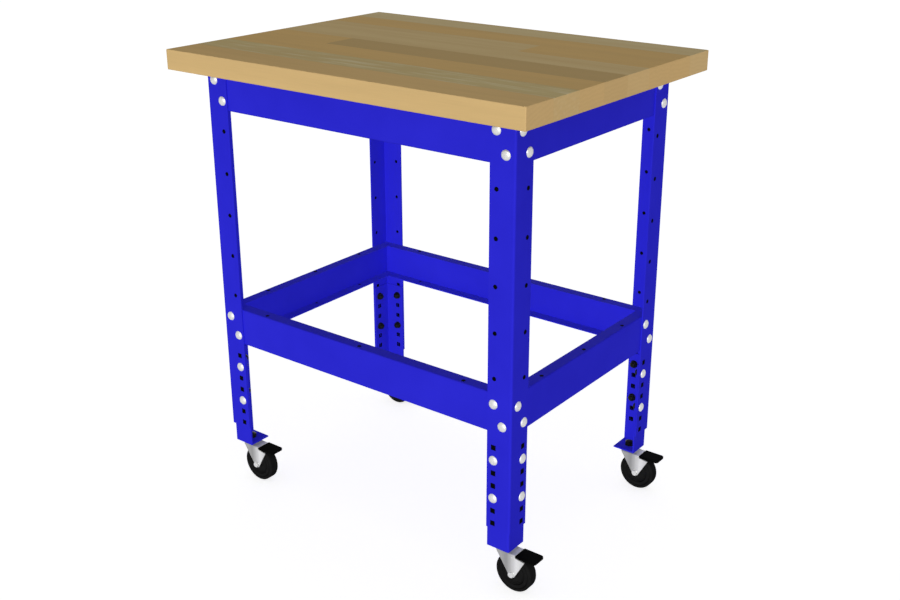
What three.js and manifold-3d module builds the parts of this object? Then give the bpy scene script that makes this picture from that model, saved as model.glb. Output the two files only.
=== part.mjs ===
// Assembly table: a butcher-block worktop on a bolted frame of folded steel, with legs that are
// angle sections, rails that are channels, telescoping feet and four swivel casters with brakes.
// Millimetres, +Z up, origin on the floor under the middle of the worktop, front towards -Y.

import * as THREE from 'three';
import { mergeVertices } from 'three/addons/utils/BufferGeometryUtils.js';
import Module from 'manifold-3d';

const wasm = await Module();
wasm.setup();

// Clearance left between pieces that touch, or that pass through one another
const GAP = 0.3;

// Corners of one surface that lie closer than this are one corner
const WELD = 1e-4;

// Worktop
const TOP_LENGTH = 812.8;
const TOP_DEPTH = 609.6;
const TOP_THICKNESS = 38.1;
const TOP_OVERHANG = 50.8;

// Legs: equal angles standing with the corner outward
const LEG_LENGTH = 749.3;
const LEG_FLANGE = 50.8;
const LEG_GAUGE = 3;

// Rails: channels whose webs lie against the inside of the legs
const RAIL_HEIGHT = 76.2;
const RAIL_FLANGE = 25.4;
const RAIL_GAUGE = 2.5;
const LOWER_RAIL_RISE = 190.5;
const RAIL_HOLE_DIAMETER = 6.4;
const RAIL_HOLE_INSET = 111.8;
const RAIL_HOLE_LINE = 9.5;

// Carriage bolts and nuts that hold the rails, two to each leg flange and rail
const BOLT_DIAMETER = 7.9;
const BOLT_HEAD_DIAMETER = 18.4;
const BOLT_HEAD_HEIGHT = 4.2;
const BOLT_DOME_REACH = 5.7;
const BOLT_DOME_RISE = 3;
const BOLT_CORNER_DISTANCE = 19.05;
const BOLT_EDGE_DISTANCE = 12.7;

// Holes in the legs: a row of square ones for the feet, a row of round ones between the rails
const HOLE_EDGE_DISTANCE = 14;
const SQUARE_HOLE = 8.6;
const SQUARE_HOLE_PITCH = 25.4;
const SQUARE_HOLE_START = 11.4;
const ROUND_HOLE_DIAMETER = 7;
const ROUND_HOLE_COUNT = 5;
const ROUND_HOLE_START = 29.7;
const ROUND_HOLE_END = 40;

// Feet: smaller angles that slide inside the legs, closed below by a plate for the caster
const FOOT_GAUGE = 3;
const FOOT_SHOWING = 40.6;
const FOOT_HEADROOM = 3;
const FOOT_EDGE_MARGIN = 12;
const FOOT_BOLT_HOLES = [2, 5];

// Caster wheel, with its swivel axis ahead of the axle by the trail
const WHEEL_DIAMETER = 76.2;
const WHEEL_WIDTH = 20.6;
const WHEEL_SHOULDER = 3;
const HUB_RECESS = 1.6;
const HUB_DIAMETER = 40;
const HUB_BOSS_DIAMETER = 19;
const TRAIL = 25.4;
const AXLE_DIAMETER = 8;
const AXLE_HEAD_DIAMETER = 12.6;
const AXLE_HEAD_HEIGHT = 4;
const AXLE_HEAD_CHAMFER = 1.9;
const AXLE_NUT_ACROSS_CORNERS = 14;
const AXLE_NUT_HEIGHT = 4;

// Caster yoke: a pressed crown with two side plates that taper down to the axle
const YOKE_GAUGE = 2.4;
const CROWN_CLEARANCE = 1.4;
const CROWN_BACK = 11;
const CROWN_REACH = 32;
const YOKE_TIP_REACH = 52;
const YOKE_STEP = 5.8;
const YOKE_TIP_DROP = 8.5;
const YOKE_TOE_RADIUS = 7;

// Swivel: threaded stem, ball race under the foot plate, nut above it
const STEM_DIAMETER = 10;
const STEM_HEAD_DIAMETER = 15;
const STEM_HEAD_HEIGHT = 2.5;
const STEM_TIP = 1.5;
const STEM_CHAMFER = 1;
const STEM_NUT_ACROSS_CORNERS = 18.4;
const STEM_NUT_HEIGHT = 8;
const RACE_HEIGHT = 6.4;
const RACE_DIAMETER = 28;
const RACE_LIP = 2.2;

// Brake pedal: a dished plate on two ears, with a shoe that comes down on the wheel
const PEDAL_LENGTH = 42.6;
const PEDAL_OVERHANG = 1.05;
const PEDAL_DEPTH = 4.4;
const PEDAL_GAUGE = 2.7;
const PEDAL_RIM = 3;
const PEDAL_CORNER_RADIUS = 6;
const PEDAL_TRAVEL_DEG = 6;
const EAR_GAUGE = 1.5;
const EAR_RADIUS = 3.6;
const EAR_REACH = 24;
const EAR_CLEARANCE = 0.6;
const PIVOT_DIAMETER = 3;
const PIVOT_BACK = 1.4;
const PIVOT_DROP = 4.6;
const PIVOT_HEAD_HEIGHT = 0.8;
const SHOE_START = 11.6;
const SHOE_LENGTH = 9;
const SHOE_STEPS = 3;

// Sides of the round pieces
const FASTENER_SIDES = 8;
const HEX_SIDES = 6;
const WHEEL_SIDES = 24;
const HUB_SIDES = 12;
const SWIVEL_SIDES = 8;
const CORNER_STEPS = 2;

// Heights above the floor
const wheelRadius = WHEEL_DIAMETER / 2;
const crownUnderside = WHEEL_DIAMETER + CROWN_CLEARANCE;
const crownTop = crownUnderside + YOKE_GAUGE;
const footBottom = crownTop + RACE_HEIGHT;
const legBottom = footBottom + FOOT_SHOWING;
const legTop = legBottom + LEG_LENGTH - GAP;
const topUnderside = legTop + GAP;
const lowerRailBottom = legBottom + LOWER_RAIL_RISE;
const upperRailBottom = legTop - RAIL_HEIGHT;
const footTop = lowerRailBottom - SQUARE_HOLE_PITCH - FOOT_HEADROOM;

// Plan of the frame, out to the legs' faces
const legX = TOP_LENGTH / 2 - TOP_OVERHANG;
const legY = TOP_DEPTH / 2 - TOP_OVERHANG;
const railInset = LEG_GAUGE + GAP;
const footInset = LEG_GAUGE + GAP;
const footWidth = LEG_FLANGE - footInset;
const stemInset = footInset + footWidth / 2;

// Bolts sit at the quarter heights of a rail; each row of leg holes has its own spacing
const boltRise = RAIL_HEIGHT / 4;
const nearBolt = BOLT_CORNER_DISTANCE;
const farBolt = LEG_FLANGE - BOLT_EDGE_DISTANCE;
const holeColumn = LEG_FLANGE - HOLE_EDGE_DISTANCE;

// Across the caster, from its middle plane outward
const earInner = WHEEL_WIDTH / 2 + EAR_CLEARANCE;
const earOuter = earInner + EAR_GAUGE;
const yokeInner = earOuter + GAP;
const yokeOuter = yokeInner + YOKE_GAUGE;
const pivotX = TRAIL - PIVOT_BACK;
const pivotZ = crownUnderside - PIVOT_DROP;

const steelBlue = new THREE.MeshStandardMaterial({ color: 0x2926cc, roughness: 0.45, metalness: 0.1 });
const wood = new THREE.MeshStandardMaterial({ color: 0xc4a871, roughness: 0.6, metalness: 0 });
const zinc = new THREE.MeshStandardMaterial({ color: 0xd9d9d6, roughness: 0.35, metalness: 0.9 });
const blackSteel = new THREE.MeshStandardMaterial({ color: 0x1b1b1d, roughness: 0.5, metalness: 0.6 });
const rubber = new THREE.MeshStandardMaterial({ color: 0x1d1d1d, roughness: 0.8, metalness: 0 });
const blackPlastic = new THREE.MeshStandardMaterial({ color: 0x101010, roughness: 0.55, metalness: 0 });

// A closed solid from a geometry: corners merged, collapsed triangles at the poles dropped
function solid(geometry) {
  const bare = new THREE.BufferGeometry();
  bare.setAttribute('position', geometry.getAttribute('position'));
  bare.setIndex(geometry.getIndex());
  const merged = mergeVertices(bare, WELD);
  const corners = merged.getIndex().array;
  const kept = [];
  for (let i = 0; i < corners.length; i += 3) {
    const [a, b, c] = corners.subarray(i, i + 3);
    if (a !== b && b !== c && c !== a) kept.push(a, b, c);
  }
  const vertProperties = new Float32Array(merged.getAttribute('position').array);
  const triVerts = new Uint32Array(kept);
  return new wasm.Manifold(new wasm.Mesh({ numProp: 3, vertProperties, triVerts }));
}

function joined(...solids) {
  return solids.reduce((whole, piece) => whole.add(piece));
}

function cut(body, cutters) {
  return cutters.reduce((whole, cutter) => whole.subtract(cutter), body);
}

function mesh(name, body, material) {
  const { vertProperties, triVerts } = body.getMesh();
  const geometry = new THREE.BufferGeometry();
  geometry.setAttribute('position', new THREE.BufferAttribute(vertProperties, 3));
  geometry.setIndex(new THREE.BufferAttribute(triVerts, 1));
  geometry.computeVertexNormals();
  const piece = new THREE.Mesh(geometry, material);
  piece.name = name;
  return piece;
}

function outline(points) {
  return new THREE.Shape(points.map(([x, y]) => new THREE.Vector2(x, y)));
}

// A flat plate: a plan outline raised from one height to another
function plate(shape, low, high) {
  const geometry = new THREE.ExtrudeGeometry(shape, {
    depth: high - low,
    bevelEnabled: false,
    curveSegments: CORNER_STEPS,
  });
  return solid(geometry.translate(0, 0, low));
}

// An upright plate: an outline in X and Z, as thick as the stretch of Y that it fills
function upright(shape, front, back) {
  const geometry = new THREE.ExtrudeGeometry(shape, {
    depth: back - front,
    bevelEnabled: false,
    curveSegments: CORNER_STEPS,
  });
  return solid(geometry.rotateX(Math.PI / 2).translate(0, back, 0));
}

function box(size, center) {
  return solid(new THREE.BoxGeometry(...size).translate(...center));
}

// A turned piece about the Y axis; the profile runs outside upward and inside downward.
// It is turned by half a side, so that a flat lies at the bottom.
function turnedGeometry(profile, sides) {
  const points = profile.map(([r, y]) => new THREE.Vector2(r, y));
  return new THREE.LatheGeometry(points, sides, Math.PI / sides, 2 * Math.PI);
}

function turned(profile, sides) {
  return solid(turnedGeometry(profile, sides));
}

function turnedUpright(profile, sides) {
  return solid(turnedGeometry(profile, sides).rotateX(Math.PI / 2));
}

// Bars with round or six-sided sections along Y and along Z
function barY(radius, sides, start, end) {
  const geometry = new THREE.CylinderGeometry(radius, radius, end - start, sides);
  return solid(geometry.translate(0, (start + end) / 2, 0));
}

function barZ(radius, sides, start, end) {
  const geometry = new THREE.CylinderGeometry(radius, radius, end - start, sides);
  return solid(geometry.rotateX(Math.PI / 2).translate(0, 0, (start + end) / 2));
}

// Radius, to its corners, of a many-sided hole that clears a round bar on every side
function clearRadius(diameter, sides) {
  return (diameter / 2 + GAP) / Math.cos(Math.PI / sides);
}

// The square section of an angle, its outer corner at the origin
function angleShape(width, gauge) {
  return outline([[0, 0], [width, 0], [width, gauge], [gauge, gauge], [gauge, width], [0, width]]);
}

// How many holes of a row fit below a limit
function holesThatFit(start, pitch, limit) {
  return Math.max(0, Math.floor((limit - start) / pitch) + 1);
}

function rowOfHeights(start, pitch, limit) {
  return Array.from({ length: holesThatFit(start, pitch, limit) }, (_, k) => start + k * pitch);
}

const squareHoleStart = legBottom + SQUARE_HOLE_START;
const legSquareHoles = rowOfHeights(
  squareHoleStart, SQUARE_HOLE_PITCH, lowerRailBottom - SQUARE_HOLE - GAP);
const footSquareHoles = rowOfHeights(
  squareHoleStart, SQUARE_HOLE_PITCH, footTop - FOOT_EDGE_MARGIN);
const lowestRoundHole = lowerRailBottom + RAIL_HEIGHT + ROUND_HOLE_START;
const roundHoleSpan = upperRailBottom - ROUND_HOLE_END - lowestRoundHole;
const roundHoles = Array.from(
  { length: ROUND_HOLE_COUNT },
  (_, k) => lowestRoundHole + k * roundHoleSpan / (ROUND_HOLE_COUNT - 1));

// Cutters for one column of holes through both flanges of an angle
function squareCutters(heights) {
  const reach = 4 * LEG_GAUGE + 4 * FOOT_GAUGE;
  return heights.flatMap((z) => [
    box([SQUARE_HOLE, reach, SQUARE_HOLE], [holeColumn, 0, z]),
    box([reach, SQUARE_HOLE, SQUARE_HOLE], [0, holeColumn, z]),
  ]);
}

function roundCutters(heights) {
  const reach = 2 * LEG_GAUGE;
  const cutter = barY(ROUND_HOLE_DIAMETER / 2, HEX_SIDES, -reach, reach);
  return heights.flatMap((z) => [
    cutter.translate([holeColumn, 0, z]),
    cutter.rotate([0, 0, -90]).translate([0, holeColumn, z]),
  ]);
}

// A carriage bolt pressed into the leg by its square neck, up to a depth below the leg's face
function carriageBolt(depth) {
  const head = BOLT_HEAD_DIAMETER / 2;
  const seat = LEG_GAUGE / 2;
  const dome = [
    [0, -BOLT_HEAD_HEIGHT],
    [BOLT_DOME_REACH, -BOLT_DOME_RISE],
    [head, 0],
    [head, seat],
    [0, seat],
  ];
  return joined(turned(dome, FASTENER_SIDES), barY(BOLT_DIAMETER / 2, HEX_SIDES, 0, depth));
}

// Places of the bolts along one rail end: [distance from the leg's corner, height].
// Seen from outside they step down to the right on every face.
function boltPlaces(railBottom, cornerOnLeft) {
  const middle = railBottom + RAIL_HEIGHT / 2;
  const upper = cornerOnLeft ? nearBolt : farBolt;
  const lower = cornerOnLeft ? farBolt : nearBolt;
  return [[upper, middle + boltRise], [lower, middle - boltRise]];
}

// The same piece on the leg's other flange
function onSide(piece) {
  return piece.rotate([0, 0, -90]);
}

// The leg of the front left corner, its outer corner at the origin of the plan
function legSolid() {
  const angle = plate(angleShape(LEG_FLANGE, LEG_GAUGE), legBottom, legTop);
  const railBolt = carriageBolt(railInset + RAIL_GAUGE);
  const footBolt = carriageBolt(LEG_GAUGE);
  const bolts = [lowerRailBottom, upperRailBottom].flatMap((railBottom) => [
    ...boltPlaces(railBottom, true).map(([x, z]) => railBolt.translate([x, 0, z])),
    ...boltPlaces(railBottom, false).map(([y, z]) => onSide(railBolt).translate([0, y, z])),
  ]);
  const clamped = legSquareHoles.filter((_, k) => FOOT_BOLT_HOLES.includes(k));
  bolts.push(...clamped.flatMap((z) => [
    footBolt.translate([holeColumn, 0, z]),
    onSide(footBolt).translate([0, holeColumn, z]),
  ]));
  const holed = cut(angle, [...squareCutters(legSquareHoles), ...roundCutters(roundHoles)]);
  return joined(holed, ...bolts);
}

// The foot of the front left corner, nested in the leg and closed by the caster plate
function footSolid() {
  const angle = plate(angleShape(footWidth, FOOT_GAUGE), footBottom, footTop);
  const square = outline([[0, 0], [footWidth, 0], [footWidth, footWidth], [0, footWidth]]);
  const base = plate(square, footBottom, footBottom + FOOT_GAUGE);
  const stemHole = barZ(
    stemHoleRadius, SWIVEL_SIDES, footBottom - FOOT_GAUGE, footBottom + 2 * FOOT_GAUGE);
  const nested = joined(angle, base).translate([footInset, footInset, 0]);
  return cut(nested, [...squareCutters(footSquareHoles), stemHole.translate([stemInset, stemInset, 0])]);
}

// A rail whose web faces -Y, standing on z = 0, with the web's outer face on y = 0.
// Its ends are mitred from the corner where the two rails meet inside a leg.
function railSolid(half) {
  const corner = half - GAP / Math.SQRT2;
  const mitred = (depth) => outline([
    [-corner, 0], [corner, 0], [corner - depth, depth], [depth - corner, depth],
  ]);
  const channel = joined(
    plate(mitred(RAIL_GAUGE), 0, RAIL_HEIGHT),
    plate(mitred(RAIL_FLANGE), 0, RAIL_GAUGE),
    plate(mitred(RAIL_FLANGE), RAIL_HEIGHT - RAIL_GAUGE, RAIL_HEIGHT),
  );
  const legCorner = half + railInset;
  const endHole = legCorner - RAIL_HOLE_INSET;
  const flangeHole = barZ(
    RAIL_HOLE_DIAMETER / 2, HEX_SIDES, -RAIL_GAUGE, RAIL_HEIGHT + RAIL_GAUGE);
  const boltHole = barY(clearRadius(BOLT_DIAMETER, HEX_SIDES), HEX_SIDES, -RAIL_GAUGE, 2 * RAIL_GAUGE);
  return cut(channel, [
    ...[-endHole, 0, endHole].map((x) => flangeHole.translate([x, RAIL_HOLE_LINE, 0])),
    ...boltPlaces(0, true).map(([x, z]) => boltHole.translate([x - legCorner, 0, z])),
    ...boltPlaces(0, false).map(([x, z]) => boltHole.translate([legCorner - x, 0, z])),
  ]);
}

const stemHoleRadius = clearRadius(STEM_DIAMETER, SWIVEL_SIDES);
const axleHoleRadius = clearRadius(AXLE_DIAMETER, SWIVEL_SIDES);

// Caster pieces stand about the swivel axis, which is the Z axis, with the axle behind it on +X
function stemSolid() {
  const shank = STEM_DIAMETER / 2;
  const head = STEM_HEAD_DIAMETER / 2;
  const headTop = crownUnderside - GAP;
  const tip = footBottom + FOOT_GAUGE + GAP + STEM_NUT_HEIGHT + STEM_TIP;
  const profile = [
    [0, headTop - STEM_HEAD_HEIGHT],
    [head, headTop - STEM_HEAD_HEIGHT],
    [head, headTop],
    [shank, headTop],
    [shank, tip - STEM_CHAMFER],
    [shank - STEM_CHAMFER, tip],
    [0, tip],
  ];
  return turnedUpright(profile, SWIVEL_SIDES);
}

function stemNutSolid() {
  const seat = footBottom + FOOT_GAUGE + GAP;
  const nut = barZ(STEM_NUT_ACROSS_CORNERS / 2, HEX_SIDES, seat, seat + STEM_NUT_HEIGHT);
  const bore = barZ(stemHoleRadius, SWIVEL_SIDES, seat - FOOT_GAUGE, seat + 2 * STEM_NUT_HEIGHT);
  return cut(nut, [bore]);
}

// The ball race between the crown and the foot plate: a cup with a narrower lip below
function swivelRaceSolid() {
  const bore = stemHoleRadius;
  const rim = RACE_DIAMETER / 2;
  const low = crownTop + GAP;
  const high = footBottom - GAP;
  const middle = (low + high) / 2;
  return turnedUpright([
    [bore, low], [rim - RACE_LIP, low], [rim - RACE_LIP, middle], [rim, middle], [rim, high],
    [bore, high], [bore, low],
  ], SWIVEL_SIDES);
}

// Side plate of the yoke: level under the foot, stepped down under the pedal, round at the axle
function sidePlateShape() {
  const toe = YOKE_TOE_RADIUS;
  const shape = new THREE.Shape();
  shape.moveTo(-CROWN_BACK, crownTop);
  const rear = tangentAngle(-CROWN_BACK, crownTop, toe, 1);
  const front = tangentAngle(YOKE_TIP_REACH, crownTop - YOKE_TIP_DROP, toe, -1);
  shape.lineTo(TRAIL + toe * Math.cos(rear), wheelRadius + toe * Math.sin(rear));
  shape.absarc(TRAIL, wheelRadius, toe, rear, front, false);
  shape.lineTo(YOKE_TIP_REACH, crownTop - YOKE_TIP_DROP);
  shape.lineTo(CROWN_REACH, crownTop - YOKE_STEP);
  shape.lineTo(CROWN_REACH, crownTop);
  shape.closePath();
  return shape;
}

// Direction, from the axle, of the point where a line from (x, z) touches the toe's circle
function tangentAngle(x, z, radius, side) {
  const dx = x - TRAIL;
  const dz = z - wheelRadius;
  return Math.atan2(dz, dx) + side * Math.acos(radius / Math.hypot(dx, dz));
}

function yokeSolid() {
  const crownWidth = 2 * yokeOuter;
  const crownLength = CROWN_BACK + CROWN_REACH;
  const crownMiddle = (CROWN_REACH - CROWN_BACK) / 2;
  const crown = box([crownLength, crownWidth, YOKE_GAUGE],
    [crownMiddle, 0, crownTop - YOKE_GAUGE / 2]);
  const shape = sidePlateShape();
  const pin = barY(PIVOT_DIAMETER / 2, FASTENER_SIDES, earInner - GAP / 2, yokeOuter + PIVOT_HEAD_HEIGHT);
  const rightPin = pin.translate([pivotX, 0, pivotZ]);
  const leftPin = pin.rotate([0, 0, 180]).translate([pivotX, 0, pivotZ]);
  const body = joined(
    crown, upright(shape, yokeInner, yokeOuter), upright(shape, -yokeOuter, -yokeInner), rightPin, leftPin);
  const stemHole = barZ(
    stemHoleRadius, SWIVEL_SIDES, crownUnderside - YOKE_GAUGE, crownTop + YOKE_GAUGE);
  const axleHole = barY(axleHoleRadius, SWIVEL_SIDES, -2 * yokeOuter, 2 * yokeOuter);
  return cut(body, [stemHole, axleHole.translate([TRAIL, 0, wheelRadius])]);
}

function axleSolid() {
  const shank = AXLE_DIAMETER / 2;
  const head = AXLE_HEAD_DIAMETER / 2;
  const seat = -yokeOuter - GAP;
  const tip = yokeOuter + GAP + AXLE_NUT_HEIGHT;
  const profile = [
    [0, seat - AXLE_HEAD_HEIGHT],
    [head - AXLE_HEAD_CHAMFER, seat - AXLE_HEAD_HEIGHT],
    [head, seat - AXLE_HEAD_HEIGHT / 2],
    [head, seat],
    [shank, seat],
    [shank, tip],
    [0, tip],
  ];
  return turned(profile, SWIVEL_SIDES).translate([TRAIL, 0, wheelRadius]);
}

function axleNutSolid() {
  const seat = yokeOuter + GAP;
  const nut = barY(AXLE_NUT_ACROSS_CORNERS / 2, HEX_SIDES, seat, seat + AXLE_NUT_HEIGHT);
  const bore = barY(axleHoleRadius, SWIVEL_SIDES, seat - AXLE_NUT_HEIGHT, seat + 2 * AXLE_NUT_HEIGHT);
  return cut(nut, [bore]).translate([TRAIL, 0, wheelRadius]);
}

// The wheel's core: a disc with a longer boss about the axle
function hubSolid() {
  const bore = clearRadius(AXLE_DIAMETER, HUB_SIDES);
  const boss = HUB_BOSS_DIAMETER / 2;
  const rim = HUB_DIAMETER / 2;
  const bossEnd = yokeInner - GAP;
  const face = WHEEL_WIDTH / 2 - HUB_RECESS;
  const profile = [
    [bore, -bossEnd], [boss, -bossEnd], [boss, -face], [rim, -face],
    [rim, face], [boss, face], [boss, bossEnd], [bore, bossEnd], [bore, -bossEnd],
  ];
  return turned(profile, HUB_SIDES).translate([TRAIL, 0, wheelRadius]);
}

// The tyre: a flat tread with eased shoulders. Its flats are as far from the axle as the
// wheel's radius, so the corners between them stand a little further out.
function tyreSolid() {
  const bore = clearRadius(HUB_DIAMETER, WHEEL_SIDES);
  const tread = wheelRadius / Math.cos(Math.PI / WHEEL_SIDES);
  const shoulder = tread - WHEEL_SHOULDER;
  const side = WHEEL_WIDTH / 2;
  const profile = [
    [bore, -side], [shoulder, -side], [tread, WHEEL_SHOULDER - side],
    [tread, side - WHEEL_SHOULDER], [shoulder, side], [bore, side], [bore, -side],
  ];
  return turned(profile, WHEEL_SIDES).translate([TRAIL, 0, wheelRadius]);
}

// Height of the wheel's top at a distance behind the swivel axis
function wheelTop(x) {
  return wheelRadius + Math.sqrt(wheelRadius ** 2 - (x - TRAIL) ** 2);
}

// Underside of the brake shoe: with the pedal fully down it stands just clear of the tyre
function shoeShape() {
  const start = pivotX + SHOE_START;
  const fall = Math.sin(THREE.MathUtils.degToRad(PEDAL_TRAVEL_DEG));
  const under = Array.from({ length: SHOE_STEPS + 1 }, (_, k) => {
    const x = start + SHOE_LENGTH * k / SHOE_STEPS;
    return [x, wheelTop(x) + 2 * GAP + fall * (x - pivotX)];
  });
  const roof = crownTop - PEDAL_GAUGE / 2;
  return outline([[start, roof], ...under, [start + SHOE_LENGTH, roof]]);
}

// An ear of the pedal: an eye about the pivot, running up into the plate behind the crown
function earShape() {
  const plateStart = CROWN_REACH + 2 * GAP;
  const shape = new THREE.Shape();
  shape.moveTo(pivotX, pivotZ + EAR_RADIUS);
  shape.absarc(pivotX, pivotZ, EAR_RADIUS, Math.PI / 2, -Math.PI / 3, false);
  shape.lineTo(pivotX + EAR_REACH, crownTop - PEDAL_DEPTH);
  shape.lineTo(pivotX + EAR_REACH, crownTop - PEDAL_GAUGE / 2);
  shape.lineTo(plateStart + GAP, crownTop - PEDAL_GAUGE / 2);
  shape.lineTo(plateStart + GAP, pivotZ + EAR_RADIUS);
  shape.closePath();
  return shape;
}

// Plan of the pedal: straight behind the crown, with two round corners at the free end
function pedalShape(start, end, half, corner) {
  const shape = new THREE.Shape();
  shape.moveTo(start, -half);
  shape.lineTo(end - corner, -half);
  shape.absarc(end - corner, corner - half, corner, -Math.PI / 2, 0, false);
  shape.lineTo(end, half - corner);
  shape.absarc(end - corner, half - corner, corner, 0, Math.PI / 2, false);
  shape.lineTo(start, half);
  shape.closePath();
  return shape;
}

function pedalSolid() {
  const start = CROWN_REACH + 2 * GAP;
  const end = start + PEDAL_LENGTH;
  const half = yokeOuter + PEDAL_OVERHANG;
  const low = crownTop - PEDAL_DEPTH;
  const pad = plate(pedalShape(start, end, half, PEDAL_CORNER_RADIUS), low, crownTop);
  const dish = plate(
    pedalShape(start - PEDAL_RIM, end - PEDAL_RIM, half - PEDAL_RIM, PEDAL_CORNER_RADIUS - PEDAL_RIM),
    low - PEDAL_GAUGE, crownTop - PEDAL_GAUGE);
  const shoeHalf = WHEEL_WIDTH / 2 - WHEEL_SHOULDER;
  const ear = earShape();
  const body = joined(
    cut(pad, [dish]), upright(shoeShape(), -shoeHalf, shoeHalf),
    upright(ear, earInner, earOuter), upright(ear, -earOuter, -earInner));
  const eyeRadius = clearRadius(PIVOT_DIAMETER, FASTENER_SIDES);
  const eye = barY(eyeRadius, FASTENER_SIDES, -2 * earOuter, 2 * earOuter);
  return cut(body, [eye.translate([pivotX, 0, pivotZ])]);
}

function turnedGroup(x, y, z, quarterTurns) {
  const group = new THREE.Group();
  group.position.set(x, y, z);
  group.rotation.z = quarterTurns * Math.PI / 2;
  return group;
}

const table = new THREE.Group();

const top = solid(new THREE.BoxGeometry(TOP_LENGTH, TOP_DEPTH, TOP_THICKNESS));
const worktop = mesh('worktop', top, wood);
worktop.position.z = topUnderside + TOP_THICKNESS / 2;
table.add(worktop);

// Corners in the order of the quarter turns that carry the front left leg round the frame
const corners = [
  ['front_left', -1, -1],
  ['front_right', 1, -1],
  ['back_right', 1, 1],
  ['back_left', -1, 1],
];

const leg = legSolid();
const foot = footSolid();
corners.forEach(([corner, sideX, sideY], quarter) => {
  const place = turnedGroup(sideX * legX, sideY * legY, 0, quarter);
  place.add(mesh(`${corner}_leg`, leg, steelBlue));
  place.add(mesh(`${corner}_foot`, foot, steelBlue));
  table.add(place);
});

// Sides of the frame in the same order; long rails run across the front and the back
const longRail = railSolid(legX - railInset);
const shortRail = railSolid(legY - railInset);
const sides = [
  ['front', 0, railInset - legY, longRail],
  ['right', legX - railInset, 0, shortRail],
  ['back', 0, legY - railInset, longRail],
  ['left', railInset - legX, 0, shortRail],
];
sides.forEach(([side, x, y, rail], quarter) => {
  for (const [level, z] of [['upper', upperRailBottom], ['lower', lowerRailBottom]]) {
    const place = turnedGroup(x, y, z, quarter);
    place.add(mesh(`${side}_${level}_rail`, rail, steelBlue));
    table.add(place);
  }
});

// All four casters trail the same way, as they do once the table has been pushed along
const casterPieces = [
  ['caster_stem', stemSolid(), zinc],
  ['stem_nut', stemNutSolid(), blackSteel],
  ['swivel_race', swivelRaceSolid(), zinc],
  ['caster_yoke', yokeSolid(), zinc],
  ['axle', axleSolid(), zinc],
  ['axle_nut', axleNutSolid(), zinc],
  ['wheel_hub', hubSolid(), blackPlastic],
  ['tyre', tyreSolid(), rubber],
  ['brake_pedal', pedalSolid(), blackPlastic],
];
for (const [corner, sideX, sideY] of corners) {
  const place = turnedGroup(sideX * (legX - stemInset), sideY * (legY - stemInset), 0, 0);
  for (const [piece, body, material] of casterPieces) {
    place.add(mesh(`${corner}_${piece}`, body, material));
  }
  table.add(place);
}

export default table;
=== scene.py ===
from math import acos, atan2, cos, hypot, pi, radians, sin

import bmesh
import bpy
from mathutils import Matrix, Vector


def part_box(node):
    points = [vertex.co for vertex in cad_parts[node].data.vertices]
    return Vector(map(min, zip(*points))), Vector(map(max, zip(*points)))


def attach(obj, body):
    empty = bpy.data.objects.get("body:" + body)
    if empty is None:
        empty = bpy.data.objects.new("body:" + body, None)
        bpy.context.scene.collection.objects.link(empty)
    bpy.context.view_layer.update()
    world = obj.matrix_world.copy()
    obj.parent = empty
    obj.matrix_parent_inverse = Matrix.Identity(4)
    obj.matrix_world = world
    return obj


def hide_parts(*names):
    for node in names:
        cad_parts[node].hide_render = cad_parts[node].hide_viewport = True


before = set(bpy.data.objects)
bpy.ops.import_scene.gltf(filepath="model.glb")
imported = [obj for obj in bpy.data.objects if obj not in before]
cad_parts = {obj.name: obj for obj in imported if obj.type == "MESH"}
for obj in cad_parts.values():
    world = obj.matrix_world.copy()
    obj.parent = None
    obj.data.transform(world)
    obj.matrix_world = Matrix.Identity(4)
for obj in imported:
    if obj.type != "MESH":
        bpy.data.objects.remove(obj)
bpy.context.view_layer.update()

# Legs. Four angle sections of 3 mm sheet steel, punched in the flat, folded and then powder coated
# blue. The square holes below the lower rail take the feet's bolts, the round ones take accessories.
corners = {"front_left": (-1, -1), "front_right": (1, -1), "back_right": (1, 1), "back_left": (-1, 1)}
leg_x, leg_y = 355.6, 254.0
leg_flange, leg_gauge, leg_fold = 50.8, 3.0, 3.8
leg_bottom, leg_top = 127.0, 876.0
hole_column = 36.8
square_hole, round_hole = 8.6, 7.0
square_margin, square_pitch, square_count = 11.4, 25.4, 7
lowest_round, round_pitch, round_count = 423.4, 84.1, 5
square_heights = [leg_bottom + square_margin + square_pitch * k for k in range(square_count)]
round_heights = [lowest_round + round_pitch * k for k in range(round_count)]
rail_height = 76.2
rail_bottoms = {"lower": 317.5, "upper": 799.8}
bolt_near, bolt_far, bolt_rise = 19.05, 38.1, 19.05
bolt_hole = 8.4
deep_blue, bright_blue = (0.0210, 0.0193, 0.585), (0.0240, 0.0222, 0.630)


def bolt_places(rail_bottom, corner_on_left):
    """(distance from the leg's corner, height) of the two bolts at one end of a rail."""
    middle = rail_bottom + rail_height / 2
    upper, lower = (bolt_near, bolt_far) if corner_on_left else (bolt_far, bolt_near)
    return (upper, middle + bolt_rise), (lower, middle - bolt_rise)


def full_turn(steps):
    return [2 * pi * k / steps for k in range(steps)]


def round_punch(x, y, diameter, steps=20):
    return [(x + diameter / 2 * cos(t), y + diameter / 2 * sin(t)) for t in full_turn(steps)]


def oblong(left, low, right, high):
    return [(left, low), (right, low), (right, high), (left, high)]


def square_punch(x, y, side):
    return oblong(x - side / 2, y - side / 2, x + side / 2, y + side / 2)


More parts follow.
